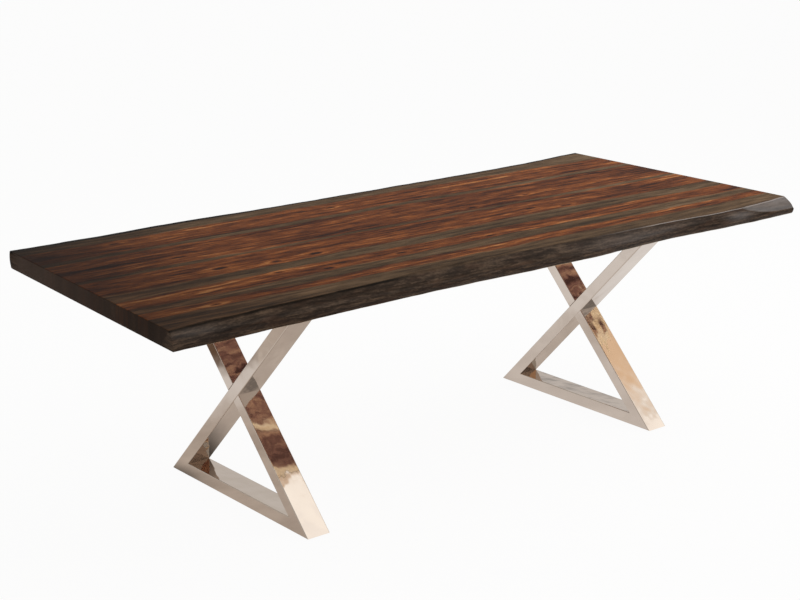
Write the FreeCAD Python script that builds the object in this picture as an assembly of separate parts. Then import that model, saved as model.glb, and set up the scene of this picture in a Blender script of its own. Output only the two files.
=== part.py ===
import FreeCAD, Part
import math
import os

V = FreeCAD.Vector
UP = V(0, 0, 1)

# Frame: millimetres, X along the length, front is -Y, floor at Z = 0, origin under the middle of the top.

# Tabletop
TABLE_HEIGHT = 762.0
TOP_LENGTH = 2438.0
TOP_THICKNESS = 53.0
FRONT_LINE_Y = -500.0
LEFT_END_SKEW = 64.0
END_ROUND = 3.0

# Boards of the glue-up, front to back, each with its nominal width
BOARD_WIDTHS = {
    "front_live_edge_board": 183.0,
    "front_inner_board": 143.0,
    "centre_board": 200.0,
    "back_inner_board": 227.0,
    "back_live_edge_board": 247.0,
}

# Live edges: how far the top arris, the belly and the lower arris stand out from the nominal edge,
# at even stations from the left end to the right end
FRONT_EDGE = (
    (7.0, 25.0, 28.0), (-13.0, 16.0, 21.0), (-22.0, 12.0, 12.0),
    (-35.0, 16.0, 8.0), (-31.0, 24.0, 16.0), (-16.0, 27.0, 20.0),
    (-9.0, 15.0, 7.0), (9.0, 27.0, 20.0), (-18.0, 26.0, 20.0),
)
BACK_EDGE = (
    (8.0, 12.0, 5.0), (2.0, 6.0, -3.0), (9.0, 13.0, 1.0),
    (-4.0, 1.0, -11.0), (-7.0, -1.0, -13.0), (-7.0, -1.0, -13.0),
    (-8.0, -2.0, -14.0), (1.0, 6.0, -8.0), (29.0, 32.0, 18.0),
)
FRONT_BELLY_HEIGHT = 16.0
BACK_BELLY_HEIGHT = 28.0
EDGE_OVERRUN = 12.0

# Dowels across each glue seam
DOWEL_RADIUS = 5.0
DOWEL_LENGTH = 50.0
DOWEL_COUNT = 9
DOWEL_END_MARGIN = 110.0
DOWEL_END_CLEARANCE = 1.0

# Leg frames: rectangular tube, wide side along X
LEG_SPACING = 1418.0
LEG_MIDDLE_X = 40.0
LEG_LINE_Y = -7.0
TOE_SPREAD = 736.0
TUBE_WIDTH = 80.0
TUBE_DEPTH = 40.0
TUBE_WALL = 2.0
TUBE_CORNER = 2.5

# Top plates and their slots, long enough for the wood to move across its grain
PLATE_THICKNESS = 6.0
PLATE_CORNER = 4.0
SLOT_CLEARANCE = 0.5
SLOT_TRAVEL = 8.0

# Bolts, washers and threaded inserts, in rows at these distances from the middle of a plate
BOLT_RADIUS = 4.0
BOLT_LENGTH = 25.0
BOLT_ROWS = (-230.0, -90.0, 90.0, 230.0)
BOLT_PAIR_SPACING = 40.0
BOLT_HEAD_RADIUS = 7.0
BOLT_HEAD_HEIGHT = 4.4
BOLT_HEAD_ROUND = 2.5
BOLT_TIP_CHAMFER = 0.8
SOCKET_ACROSS_FLATS = 5.0
SOCKET_DEPTH = 2.6
WASHER_RADIUS = 12.0
WASHER_THICKNESS = 2.0
WASHER_CLEARANCE = 0.2
INSERT_RADIUS = 6.0
INSERT_LENGTH = 18.0
INSERT_HOLE_EXTRA = 3.0
THREAD_CLEARANCE = 0.05

# Levelling feet and the rivet nuts that hold them
FOOT_SETBACK = 92.0
PAD_RADIUS = 15.0
PAD_THICKNESS = 4.0
PAD_ROUND = 1.2
STEM_RADIUS = 4.0
STEM_RISE = 23.0
STEM_FLANGE_RADIUS = 9.0
STEM_FLANGE_THICKNESS = 1.5
NUT_RADIUS = 5.5
NUT_LENGTH = 15.0
NUT_FLANGE_RADIUS = 7.5
NUT_FLANGE_THICKNESS = 1.2
FOOT_REST_GAP = 0.3

# Heights and lines that follow from the sizes above
UNDERSIDE = TABLE_HEIGHT - TOP_THICKNESS
ARM_TOP = UNDERSIDE - PLATE_THICKNESS
BAR_BOTTOM = PAD_THICKNESS + FOOT_REST_GAP + NUT_FLANGE_THICKNESS
TOE = TOE_SPREAD / 2
ARM_RISE = ARM_TOP - BAR_BOTTOM
CROSSING = V(0, 0, BAR_BOTTOM + ARM_RISE / 2)
ARM_SPAN = math.hypot(TOE_SPREAD, ARM_RISE)
ARM_LEAN = math.acos(TUBE_DEPTH / ARM_SPAN) - math.atan2(ARM_RISE, TOE_SPREAD)
TOE_MITRE = (math.pi / 2 - ARM_LEAN) / 2
HALF_LENGTH = TOP_LENGTH / 2
REACH = TOP_LENGTH + TABLE_HEIGHT


def write(name, solids):
    """Write one solid, or a group of equal solids, as one node."""
    shape = solids[0] if len(solids) == 1 else Part.makeCompound(solids)
    shape.exportStep("parts/" + name + ".step")
    state = "valid" if shape.isValid() else "NOT VALID"
    print(name, len(shape.Solids), "solids", round(shape.Volume), "mm3", state)


def block(low, high):
    """A box between two corners."""
    return Part.makeBox(high.x - low.x, high.y - low.y, high.z - low.z, low)


def prism(points, rise):
    """A straight prism on a closed outline."""
    return Part.Face(Part.makePolygon(points + points[:1])).extrude(rise)


def beyond(point, normal):
    """Everything past a plane, as one large block."""
    far = Part.makeBox(REACH, REACH, REACH, V(-REACH / 2, -REACH / 2, 0))
    far.Placement = FreeCAD.Placement(point, FreeCAD.Rotation(UP, normal))
    return far


def round_edges(shape, radius, wanted):
    """Round the straight edges whose direction passes the test."""
    edges = [edge for edge in shape.Edges if wanted(edge.tangentAt(edge.FirstParameter))]
    return shape.makeFillet(radius, edges)


def at_places(shape, places):
    """Copies of one shape, moved to each place."""
    return [shape.translated(place) for place in places]


# Tabletop

def seam_lines():
    """Y of the front edge, of each glue seam and of the back edge, front to back."""
    lines = [FRONT_LINE_Y]
    for width in BOARD_WIDTHS.values():
        lines.append(lines[-1] + width)
    return lines


SEAMS = seam_lines()


def slab_envelope():
    """The top's full thickness between its two cross-cut ends, wider than any board, its end arrises eased.

    The left end is cut a little out of square, so the front left corner reaches furthest.
    """
    skew_slope = LEFT_END_SKEW / (SEAMS[-1] - SEAMS[0])
    corner = SEAMS[0] - max(FRONT_EDGE[0])
    front = SEAMS[0] - REACH
    back = SEAMS[-1] + REACH
    outline = [
        V(-HALF_LENGTH + skew_slope * (front - corner), front, UNDERSIDE),
        V(HALF_LENGTH, front, UNDERSIDE),
        V(HALF_LENGTH, back, UNDERSIDE),
        V(-HALF_LENGTH + skew_slope * (back - corner), back, UNDERSIDE),
    ]
    slab = prism(outline, V(0, 0, TOP_THICKNESS))
    return round_edges(slab, END_ROUND, lambda run: abs(run.y) > abs(run.x) + abs(run.z))


def live_section(x, offsets, belly_height, nominal_y, outward, inner_y):
    """One cross-section of a live-edge board: a smooth bark line, closed a little past the seam."""
    top, belly, bottom = offsets
    top_slope = (top - belly) / (TOP_THICKNESS - belly_height)
    bottom_slope = (bottom - belly) / belly_height
    bark = [
        (bottom + bottom_slope * EDGE_OVERRUN, UNDERSIDE - EDGE_OVERRUN),
        (bottom, UNDERSIDE),
        (belly, UNDERSIDE + belly_height),
        (top, TABLE_HEIGHT),
        (top + top_slope * EDGE_OVERRUN, TABLE_HEIGHT + EDGE_OVERRUN),
    ]
    points = [V(x, nominal_y + outward * out, z) for out, z in bark]
    curve = Part.BSplineCurve()
    curve.interpolate(points)
    inner_top = V(x, inner_y - outward * EDGE_OVERRUN, points[-1].z)
    inner_bottom = V(x, inner_y - outward * EDGE_OVERRUN, points[0].z)
    return Part.Wire([
        curve.toShape(),
        Part.makeLine(points[-1], inner_top),
        Part.makeLine(inner_top, inner_bottom),
        Part.makeLine(inner_bottom, points[0]),
    ])


def live_blank(edge, belly_height, nominal_y, outward, inner_y):
    """A live-edge board before its faces are planed: sections lofted along the length, past both ends."""
    first = -HALF_LENGTH - EDGE_OVERRUN
    step = (TOP_LENGTH + 2 * EDGE_OVERRUN) / (len(edge) - 1)
    sections = []
    for station, offsets in enumerate(edge):
        x = first + station * step
        sections.append(live_section(x, offsets, belly_height, nominal_y, outward, inner_y))
    return Part.makeLoft(sections, True, False)


def dowel_places():
    """X of each dowel along a seam."""
    run = TOP_LENGTH - 2 * DOWEL_END_MARGIN
    return [-run / 2 + run * count / (DOWEL_COUNT - 1) for count in range(DOWEL_COUNT)]


def dowels(seam_y, end_clearance):
    """The dowels of one seam, or their holes when an end clearance is given."""
    half = DOWEL_LENGTH / 2 + end_clearance
    middle = UNDERSIDE + TOP_THICKNESS / 2
    dowel = Part.makeCylinder(DOWEL_RADIUS, 2 * half, V(0, seam_y - half, middle), V(0, 1, 0))
    return at_places(dowel, [V(x, 0, 0) for x in dowel_places()])


def leg_middles():
    """The point on the floor under the middle of each leg frame."""
    half = LEG_SPACING / 2
    return {"left": V(LEG_MIDDLE_X - half, LEG_LINE_Y, 0), "right": V(LEG_MIDDLE_X + half, LEG_LINE_Y, 0)}


def bolt_places(middle):
    """The bolts of one top plate, as points on the floor under them."""
    sides = (-BOLT_PAIR_SPACING / 2, BOLT_PAIR_SPACING / 2)
    return [middle + V(side, row, 0) for row in BOLT_ROWS for side in sides]


def insert_holes():
    """Blind holes for every threaded insert, in the underside."""
    hole = Part.makeCylinder(INSERT_RADIUS, INSERT_LENGTH + INSERT_HOLE_EXTRA, V(0, 0, UNDERSIDE))
    places = [place for middle in leg_middles().values() for place in bolt_places(middle)]
    return at_places(hole, places)


def make_top():
    """The glue-up: five boards, and the dowels across its four seams."""
    envelope = slab_envelope()
    names = list(BOARD_WIDTHS)
    blanks = {
        names[0]: live_blank(FRONT_EDGE, FRONT_BELLY_HEIGHT, SEAMS[0], -1, SEAMS[1]),
        names[-1]: live_blank(BACK_EDGE, BACK_BELLY_HEIGHT, SEAMS[-1], 1, SEAMS[-2]),
    }
    bores = insert_holes()
    for seam_y in SEAMS[1:-1]:
        bores += dowels(seam_y, DOWEL_END_CLEARANCE)
    for index, name in enumerate(names):
        front = SEAMS[index] if name != names[0] else -REACH
        back = SEAMS[index + 1] if name != names[-1] else REACH
        cell = block(V(-REACH, front, 0), V(REACH, back, TABLE_HEIGHT + EDGE_OVERRUN))
        board = envelope.common(cell)
        if name in blanks:
            board = board.common(blanks[name])
        near = [bore for bore in bores if bore.BoundBox.YMax > front and bore.BoundBox.YMin < back]
        write(name, board.cut(near).Solids if near else board.Solids)
    for seam_y, where in zip(SEAMS[1:-1], ("front", "front_inner", "back_inner", "back")):
        write("dowels_" + where + "_seam", dowels(seam_y, 0))


# Leg frames

def tube(length):
    """A rectangular tube centred on the origin and standing along Z."""
    corner = V(TUBE_WIDTH / 2, TUBE_DEPTH / 2, length / 2)
    outer = round_edges(block(corner * -1, corner), TUBE_CORNER, lambda run: abs(run.z) > 0.5)
    inner_corner = V(TUBE_WIDTH / 2 - TUBE_WALL, TUBE_DEPTH / 2 - TUBE_WALL, length)
    return outer.cut(block(inner_corner * -1, inner_corner))


def leaning_tube(lean, through):
    """A long tube through a point, turned about X by an angle in radians."""
    piece = tube(2 * ARM_SPAN)
    piece.rotate(V(0, 0, 0), V(1, 0, 0), math.degrees(lean))
    return piece.translated(through)


def mitre(side):
    """The mitre at one toe: its point, and its normal towards the floor bar. Side is 1 at the back."""
    point = V(0, side * TOE, BAR_BOTTOM)
    return point, V(0, -side * math.sin(TOE_MITRE), -math.cos(TOE_MITRE))


def make_frame_tubes():
    """The four tubes of one frame: a long arm, two short arms coped to it, a floor bar mitred to the toes."""
    across = V(0, math.cos(ARM_LEAN), math.sin(ARM_LEAN))
    back_toe, back_normal = mitre(1)
    front_toe, front_normal = mitre(-1)
    above = beyond(V(0, 0, ARM_TOP), UP)
    long_arm = leaning_tube(ARM_LEAN, CROSSING).cut([beyond(back_toe, back_normal), above])
    crossing_arm = leaning_tube(-ARM_LEAN, CROSSING)
    lower_face = CROSSING - across * (TUBE_DEPTH / 2)
    upper_face = CROSSING + across * (TUBE_DEPTH / 2)
    lower_arm = crossing_arm.cut([beyond(lower_face, across), beyond(front_toe, front_normal)])
    upper_arm = crossing_arm.cut([beyond(upper_face, across * -1), above])
    bar = leaning_tube(math.pi / 2, V(0, 0, BAR_BOTTOM + TUBE_DEPTH / 2))
    bar = bar.cut([beyond(back_toe, back_normal * -1), beyond(front_toe, front_normal * -1)])
    nut_hole = Part.makeCylinder(NUT_RADIUS, TUBE_WALL * 3, V(0, 0, BAR_BOTTOM - TUBE_WALL))
    bar = bar.cut(at_places(nut_hole, foot_places(V(0, 0, 0)).values()))
    return {
        "long_arm": long_arm,
        "lower_short_arm": lower_arm,
        "upper_short_arm": upper_arm,
        "floor_bar": bar,
    }


def foot_places(middle):
    """The two levelling feet of one frame."""
    reach = TOE - FOOT_SETBACK
    return {"front": middle + V(0, -reach, 0), "back": middle + V(0, reach, 0)}


def make_top_plate():
    """The flat plate welded on the arms, with a slot for each bolt."""
    plate = block(V(-TUBE_WIDTH / 2, -TOE, ARM_TOP), V(TUBE_WIDTH / 2, TOE, UNDERSIDE))
    plate = round_edges(plate, PLATE_CORNER, lambda run: abs(run.z) > 0.5)
    radius = BOLT_RADIUS + SLOT_CLEARANCE
    half = SLOT_TRAVEL / 2
    slot = block(V(-radius, -half, ARM_TOP), V(radius, half, UNDERSIDE))
    for end in (-half, half):
        slot = slot.fuse(Part.makeCylinder(radius, PLATE_THICKNESS, V(0, end, ARM_TOP)))
    return plate.cut(at_places(slot.removeSplitter(), bolt_places(V(0, 0, 0))))


def make_bolt():
    """A button-head socket bolt, pointing up, with its head under the washer."""
    seat = ARM_TOP - WASHER_THICKNESS
    head = Part.makeCylinder(BOLT_HEAD_RADIUS, BOLT_HEAD_HEIGHT, V(0, 0, seat - BOLT_HEAD_HEIGHT))
    crown = min(head.Edges, key=lambda edge: edge.BoundBox.ZMax)
    head = head.makeFillet(BOLT_HEAD_ROUND, [crown])
    shank = Part.makeCylinder(BOLT_RADIUS, BOLT_LENGTH, V(0, 0, seat))
    tip = [edge for edge in shank.Edges if edge.BoundBox.ZMin > seat + BOLT_LENGTH / 2]
    shank = shank.makeChamfer(BOLT_TIP_CHAMFER, tip)
    corner = SOCKET_ACROSS_FLATS / math.sqrt(3)
    base = seat - BOLT_HEAD_HEIGHT
    turns = [k * math.pi / 3 for k in range(6)]
    hexagon = [V(corner * math.cos(turn), corner * math.sin(turn), base) for turn in turns]
    return head.fuse(shank).cut(prism(hexagon, V(0, 0, SOCKET_DEPTH))).removeSplitter()


def make_washer():
    """A wide flat washer that bridges the slot."""
    base = V(0, 0, ARM_TOP - WASHER_THICKNESS)
    hole = Part.makeCylinder(BOLT_RADIUS + WASHER_CLEARANCE, WASHER_THICKNESS, base)
    return Part.makeCylinder(WASHER_RADIUS, WASHER_THICKNESS, base).cut(hole)


def make_insert():
    """A threaded insert, flush with the underside."""
    base = V(0, 0, UNDERSIDE)
    hole = Part.makeCylinder(BOLT_RADIUS + THREAD_CLEARANCE, INSERT_LENGTH, base)
    return Part.makeCylinder(INSERT_RADIUS, INSERT_LENGTH, base).cut(hole)


def make_rivet_nut():
    """A rivet nut in the floor bar's lower wall, its flange below the wall."""
    body = Part.makeCylinder(NUT_RADIUS, NUT_LENGTH, V(0, 0, BAR_BOTTOM))
    base = V(0, 0, BAR_BOTTOM - NUT_FLANGE_THICKNESS)
    flange = Part.makeCylinder(NUT_FLANGE_RADIUS, NUT_FLANGE_THICKNESS, base)
    bore = Part.makeCylinder(STEM_RADIUS + THREAD_CLEARANCE, NUT_LENGTH + NUT_FLANGE_THICKNESS, base)
    return body.fuse(flange).cut(bore).removeSplitter()


def make_foot_stem():
    """A threaded stem with a flange that sits in the pad's recess."""
    flange_base = PAD_THICKNESS - STEM_FLANGE_THICKNESS
    flange = Part.makeCylinder(STEM_FLANGE_RADIUS, STEM_FLANGE_THICKNESS, V(0, 0, flange_base))
    stem = Part.makeCylinder(STEM_RADIUS, STEM_RISE + STEM_FLANGE_THICKNESS, V(0, 0, flange_base))
    return flange.fuse(stem).removeSplitter()


def make_foot_pad():
    """A round pad with a rounded floor edge and a recess for the stem's flange."""
    pad = Part.makeCylinder(PAD_RADIUS, PAD_THICKNESS)
    lower_rim = min(pad.Edges, key=lambda edge: edge.BoundBox.ZMax)
    pad = pad.makeFillet(PAD_ROUND, [lower_rim])
    base = V(0, 0, PAD_THICKNESS - STEM_FLANGE_THICKNESS)
    return pad.cut(Part.makeCylinder(STEM_FLANGE_RADIUS, STEM_FLANGE_THICKNESS, base))


def make_legs():
    """Both leg frames with their plates, fasteners and levelling feet."""
    tubes = make_frame_tubes()
    plate = make_top_plate()
    fasteners = {"bolts": make_bolt(), "washers": make_washer(), "threaded_inserts": make_insert()}
    nut = make_rivet_nut()
    foot = {"stem": make_foot_stem(), "pad": make_foot_pad()}
    for side, middle in leg_middles().items():
        leg = side + "_leg_"
        for name, piece in tubes.items():
            write(leg + name, [piece.translated(middle)])
        write(leg + "top_plate", [plate.translated(middle)])
        for name, piece in fasteners.items():
            write(leg + name, at_places(piece, bolt_places(middle)))
        feet = foot_places(middle)
        write(leg + "rivet_nuts", at_places(nut, feet.values()))
        for end, place in feet.items():
            for name, piece in foot.items():
                write(side + "_" + end + "_foot_" + name, [piece.translated(place)])


os.makedirs("parts", exist_ok=True)
make_top()
make_legs()
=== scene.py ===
# %% [markdown]
# # A live edge dining table
# The real table is a thick top of five glued boards on two X legs of polished
# steel tube. The outer boards keep the tree's own wavy edge, which is what
# "live edge" means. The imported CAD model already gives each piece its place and
# size, in metres, so this lesson only adds what CAD leaves out: the fine shape
# of the natural edges, the finishes, a floor, light and a camera.

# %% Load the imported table
import math

import bpy
import numpy as np
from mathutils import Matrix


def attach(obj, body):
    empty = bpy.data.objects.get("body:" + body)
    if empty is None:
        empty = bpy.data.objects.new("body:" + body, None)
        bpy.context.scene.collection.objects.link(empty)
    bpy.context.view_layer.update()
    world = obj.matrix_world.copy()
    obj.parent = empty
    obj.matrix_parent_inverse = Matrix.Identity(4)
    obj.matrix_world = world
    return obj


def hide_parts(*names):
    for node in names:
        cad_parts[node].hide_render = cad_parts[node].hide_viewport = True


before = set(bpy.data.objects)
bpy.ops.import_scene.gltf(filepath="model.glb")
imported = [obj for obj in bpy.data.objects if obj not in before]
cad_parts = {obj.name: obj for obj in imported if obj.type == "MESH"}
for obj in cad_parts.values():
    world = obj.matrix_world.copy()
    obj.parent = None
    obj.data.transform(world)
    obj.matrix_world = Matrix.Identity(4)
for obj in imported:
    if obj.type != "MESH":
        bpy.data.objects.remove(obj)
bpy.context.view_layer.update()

# %% [markdown]
# ## The camera
# The photograph was taken from the front left corner, a little above the top,
# through a longish lens. A camera can be aimed by eye, by a Track To constraint,
# or by its own axes. Here the three axes are worked out from yaw, pitch and roll,
# because those are the numbers that fitting the table's corners gives.

# %% Aim the camera
PHOTO_WIDTH = 800
SENSOR_WIDTH = 36.0
FOCAL_PIXELS = 1712.118
CAMERA_PLACE = (-3.34192, -4.09226, 2.00878)
YAW, PITCH, ROLL = 0.675315, 0.276104, -0.004779
FAR_CLIP = 200.0


def camera_axes(yaw, pitch, roll):
    """Right, up and back axes: turn by yaw about Z, dip by pitch, then roll about the line of sight."""
    level = np.array([math.cos(yaw), -math.sin(yaw), 0.0])
    ahead = np.array([math.sin(yaw) * math.cos(pitch), math.cos(yaw) * math.cos(pitch), -math.sin(pitch)])
    above = np.cross(level, ahead)
    right = math.cos(roll) * level + math.sin(roll) * above
    up = math.cos(roll) * above - math.sin(roll) * level
    return np.column_stack([right, up, -ahead])


def stand(thing, axes, place):
    """Put a camera or lamp into the scene, with its axes as the columns of its matrix and its place last."""
    stance = np.eye(4)
    stance[:3, :3], stance[:3, 3] = axes, place
    thing.matrix_world = [list(column) for column in stance.T]
    bpy.context.scene.collection.objects.link(thing)


lens = bpy.data.cameras.new("photo_camera")
lens.sensor_fit = "HORIZONTAL"
lens.sensor_width = SENSOR_WIDTH
lens.lens = FOCAL_PIXELS * SENSOR_WIDTH / PHOTO_WIDTH
lens.clip_end = FAR_CLIP
camera = bpy.data.objects.new("photo_camera", lens)
sight = camera_axes(YAW, PITCH, ROLL)
stand(camera, sight, CAMERA_PLACE)
bpy.context.scene.camera = camera
print("lens", round(lens.lens, 2), "mm, looking along", np.round(-sight[:, 2], 3))

# %% [markdown]
# ## Writing shaders as sums
# A shader is a graph of nodes, and wiring each one by hand hides the idea behind
# it. The class below wraps an output socket so that `1 - mask` or `x / 40` adds
# the Math nodes by itself.

# %% Sockets that do arithmetic
def plug(entry, value):
    """Link a wrapped socket to an input, or write a plain value into it."""
    if isinstance(value, Socket):
        entry.id_data.links.new(value.output, entry)
    elif entry.type == "RGBA":
        entry.default_value = (*value, 1.0)
    else:
        entry.default_value = value


class Socket:
    """An output socket. Arithmetic on it adds Math nodes to the same tree."""

    def __init__(self, output):
        self.output = output

    def also(self, name):
        """Another output of the node that this socket is on."""
        return Socket(self.output.node.outputs[name])

    def math(self, operation, first, second=0.0):
        """One Math node in this socket's tree."""
        made = self.output.id_data.nodes.new("ShaderNodeMath")
        made.operation = operation
        plug(made.inputs[0], first)
        plug(made.inputs[1], second)
        return Socket(made.outputs[0])

    def __add__(self, other):
        return self.math("ADD", self, other)

    def __radd__(self, other):
        return self.math("ADD", other, self)

    def __sub__(self, other):
        return self.math("SUBTRACT", self, other)

    def __rsub__(self, other):
        return self.math("SUBTRACT", other, self)

    def __mul__(self, other):
        return self.math("MULTIPLY", self, other)

    def __rmul__(self, other):
        return self.math("MULTIPLY", other, self)

    def __truediv__(self, other):
        return self.math("DIVIDE", self, other)

    def __pow__(self, other):
        return self.math("POWER", self, other)

    def __abs__(self):
        return self.math("ABSOLUTE", self)


print("a socket adds, subtracts, multiplies, divides and takes powers")

# %% [markdown]
# Every other node comes from one method, which takes the node's type, its
# settings and what goes into its sockets. The short methods after it only give
# names to the nodes that this table's finishes use again and again.

# %% The tree of a finish
MM_PER_METRE = 1000.0


class Finish:
    """The node tree of a material or of the world, while it is being written."""

    def __init__(self, owner):
        owner.use_nodes = True
        self.owner = owner
        self.tree = owner.node_tree
        self.tree.nodes.clear()

    def node(self, kind, settings=None, inputs=None, output=0):
        """Add one node: its settings first, then the values or links of its sockets."""
        made = self.tree.nodes.new("ShaderNode" + kind)
        for name, value in (settings or {}).items():
            if name == "stops":
                row = made.color_ramp.elements
                while len(row) < len(value):
                    row.new(1.0)
                for stop, (place, colour) in zip(row, value):
                    stop.position = place
                    stop.color = (*colour, 1.0)
            else:
                setattr(made, name, value)
        for name, value in (inputs or {}).items():
            plug(made.inputs[name], value)
        return Socket(made.outputs[output]) if len(made.outputs) else None

    def place(self):
        """Object coordinates as three numbers in millimetres."""
        spot = self.node("SeparateXYZ", inputs={0: self.node("TexCoord", output="Object")})
        return [spot.also(axis) * MM_PER_METRE for axis in "XYZ"]

    def cloud(self, along, across=0.0, deep=0.0, detail=2.0, roughness=0.5):
        """Noise from 0 to 1 at a point that is already divided by the size of its blots."""
        spot = self.node("CombineXYZ", inputs={0: along, 1: across, 2: deep})
        inputs = {"Vector": spot, "Scale": 1.0, "Detail": detail, "Roughness": roughness}
        return self.node("TexNoise", {"noise_dimensions": "3D"}, inputs)

    def waver(self, *point, **settings):
        """The same noise with its middle at 0."""
        return self.cloud(*point, **settings) - 0.5

    def rise(self, value, low, high):
        """A soft step: 0 below low, 1 above high, smooth between."""
        return self.node("MapRange", {"interpolation_type": "SMOOTHSTEP"}, {0: value, 1: low, 2: high})

    def fall(self, value, low, high):
        """A soft step down: 1 below low, 0 above high."""
        return 1 - self.rise(value, low, high)

    def band(self, value, low, high, soft):
        """1 from low to high and 0 outside, with limits that are soft by so much each way."""
        return self.rise(value, low - soft, low + soft) * self.fall(value, high - soft, high + soft)

    def ramp(self, value, stops):
        """A number turned into a colour by a row of stops."""
        return self.node("ValToRGB", {"stops": stops}, {0: value})

    def blend(self, share, first, second):
        """Two colours mixed, from the first at share 0 to the second at share 1."""
        return self.node("Mix", {"data_type": "RGBA"}, {0: share, 6: first, 7: second}, output=2)

    def shade(self, colour, strength):
        """A colour made lighter or darker by a number."""
        return self.node("VectorMath", {"operation": "SCALE"}, {0: colour, "Scale": strength})

    def bump(self, height, strength, distance):
        """A normal that tilts with a height, where a height of 1 is a given distance in metres."""
        return self.node("Bump", inputs={"Strength": strength, "Distance": distance, "Height": height})

    def close(self, inputs):
        """End a material with one Principled shader, and give the material back."""
        shader = self.node("BsdfPrincipled", inputs=inputs)
        self.node("OutputMaterial", inputs={"Surface": shader})
        return self.owner


def new_finish(name):
    """The empty tree of a new material."""
    return Finish(bpy.data.materials.new(name))


print("shader helpers ready")

# %% [markdown]
# ## Stained rosewood
# Each board is a plain-sawn plank: a brown to orange heart with grey sapwood
# along its sides, which is why the glued top looks striped. An image of wood
# would be quick, but it repeats and has one size. Here the pattern is worked out
# instead, from a few numbers for each board and from noise, so it runs on through
# the thickness and shows the same rings on the faces and on the ends.

# %% Colours of the wood
HEART_STOPS = [
    (0.00, (0.022, 0.009, 0.007)), (0.25, (0.066, 0.020, 0.009)), (0.50, (0.146, 0.043, 0.0145)),
    (0.70, (0.222, 0.068, 0.020)), (0.86, (0.335, 0.113, 0.031)), (1.00, (0.450, 0.195, 0.070)),
]
SAP_STOPS = [
    (0.10, (0.034, 0.020, 0.011)), (0.50, (0.094, 0.056, 0.030)), (0.90, (0.180, 0.113, 0.064)),
]
RAW_HEART_STOPS = [
    (0.15, (0.072, 0.036, 0.032)), (0.50, (0.228, 0.118, 0.094)), (0.85, (0.50, 0.31, 0.20)),
]
RAW_SAP_STOPS = [(0.10, (0.72, 0.53, 0.32)), (0.50, (0.90, 0.73, 0.50)), (0.90, (0.94, 0.83, 0.64))]
BARK_STOPS = [
    (0.20, (0.008, 0.005, 0.004)), (0.48, (0.038, 0.025, 0.018)), (0.75, (0.130, 0.084, 0.056)),
]
INNER_BARK = (0.058, 0.031, 0.020)
END_STAIN = (0.047, 0.033, 0.027)
# Painted sheen: a grey that stands in for light reflected off the smoothed places on the edge.
SHEEN_GREY = (0.150, 0.132, 0.128)
print("heart from", HEART_STOPS[0][1], "to", HEART_STOPS[-1][1])

# %% [markdown]
# No two boards are alike, so each has its own numbers. Lengths are in
# millimetres, across the table (y) or along it (x):
#
# - seed: the board's own place in the noise;
# - heart: the limits of the heart on top; pith: the line of the tree's middle;
# - lean: how far the grain runs out of line for each millimetre of length;
# - warmth: how much redder the heart is; painted_left_shade: how much painted shade darkens the left end;
# - under: the heart on the raw underside, the x where it runs out, how far its
#   tongues fray there and how much that end slants;
# - streaks: from x, to x, middle y, half width, lift; knots: x, y, size.

# %% The five boards
BOARDS = {
    "back_live_edge_board": {
        "seed": 1.0, "heart": (271.0, 412.0), "pith": 336.0, "lean": 0.0135, "warmth": 0.02, "painted_left_shade": 0.88,
        "under": {"heart": (253.0, 470.0), "runs_out": 2000.0, "fray": 0.0, "slant": 0.0},
        "streaks": [(-880, -120, 397, 16, 0.26), (390, 710, 370, 15, 0.26)],
        "knots": [(-868, 378, 9), (-66, 358, 8)],
    },
    "back_inner_board": {
        "seed": 2.3, "heart": (39.0, 239.0), "pith": 148.0, "lean": 0.012, "warmth": -0.02, "painted_left_shade": 0.74,
        "under": {"heart": (20.0, 260.0), "runs_out": 2000.0, "fray": 0.0, "slant": 0.0},
        "streaks": [
            (-1240, -905, 82, 18, 0.28), (-220, 55, 173, 13, 0.28), (520, 610, 104, 8, 0.35),
            (-1240, -835, 146, 24, -0.25), (135, 460, 53, 9, -0.25), (260, 440, 158, 26, -0.15),
            (680, 1300, 140, 95, -0.09),
        ],
        "knots": [(291, 62, 10), (566, 102, 8), (-803, 104, 11)],
    },
    "centre_board": {
        "seed": 3.7, "heart": (-130.0, 18.0), "pith": -53.0, "lean": 0.0098, "warmth": 0.01, "painted_left_shade": 0.64,
        "under": {"heart": (-200.0, 30.0), "runs_out": 1132.0, "fray": 150.0, "slant": 0.0},
        "streaks": [
            (-1240, -1040, -86, 12, 0.2), (-475, 145, -67, 7, 0.18), (995, 1240, -13, 14, 0.3),
            (680, 1300, -150, 34, -0.12),
        ],
        "knots": [(-781, -71, 12), (-612, -107, 9), (-466, -99, 11), (434, -71, 9), (557, -107, 11)],
    },
    "front_inner_board": {
        "seed": 4.1, "heart": (-292.0, -208.0), "pith": -196.0, "lean": 0.008, "warmth": 0.08, "painted_left_shade": 0.50,
        "under": {"heart": (-308.0, -150.0), "runs_out": 1174.0, "fray": 40.0, "slant": 0.7},
        "streaks": [
            (-1240, -980, -231, 12, 0.1), (560, 1300, -250, 80, -0.09), (620, 1300, -305, 26, 0.16),
        ],
        "knots": [(-674, -228, 9), (-537, -272, 9), (-267, -264, 9), (82, -272, 10)],
    },
    "front_live_edge_board": {
        "seed": 5.9, "heart": (-402.0, -347.0), "pith": -330.0, "lean": 0.0073, "warmth": 0.07, "painted_left_shade": 0.53,
        "under": {"heart": (-480.0, -340.0), "runs_out": 560.0, "fray": 600.0, "slant": 0.0},
        "streaks": [
            (-1240, -740, -375, 20, 0.03), (-1240, -760, -450, 60, -0.12), (600, 1300, -375, 64, -0.10),
            (620, 1300, -336, 20, 0.16), (560, 1300, -452, 55, 0.09),
        ],
        "knots": [(-995, -387, 8)],
    },
}
print(len(BOARDS), "boards,", sum(len(board["knots"]) for board in BOARDS.values()), "knots")

# %% [markdown]
# Grain runs along a board, but never quite straight: it leans, it sways in long
# waves, and it parts round the places where branches grew. One number holds all
# of that, the place across the grain. Patterns that use it in place of y follow
# every bend by themselves.

# %% Grain that parts round knots
SEED_STEP = 17.0
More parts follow.
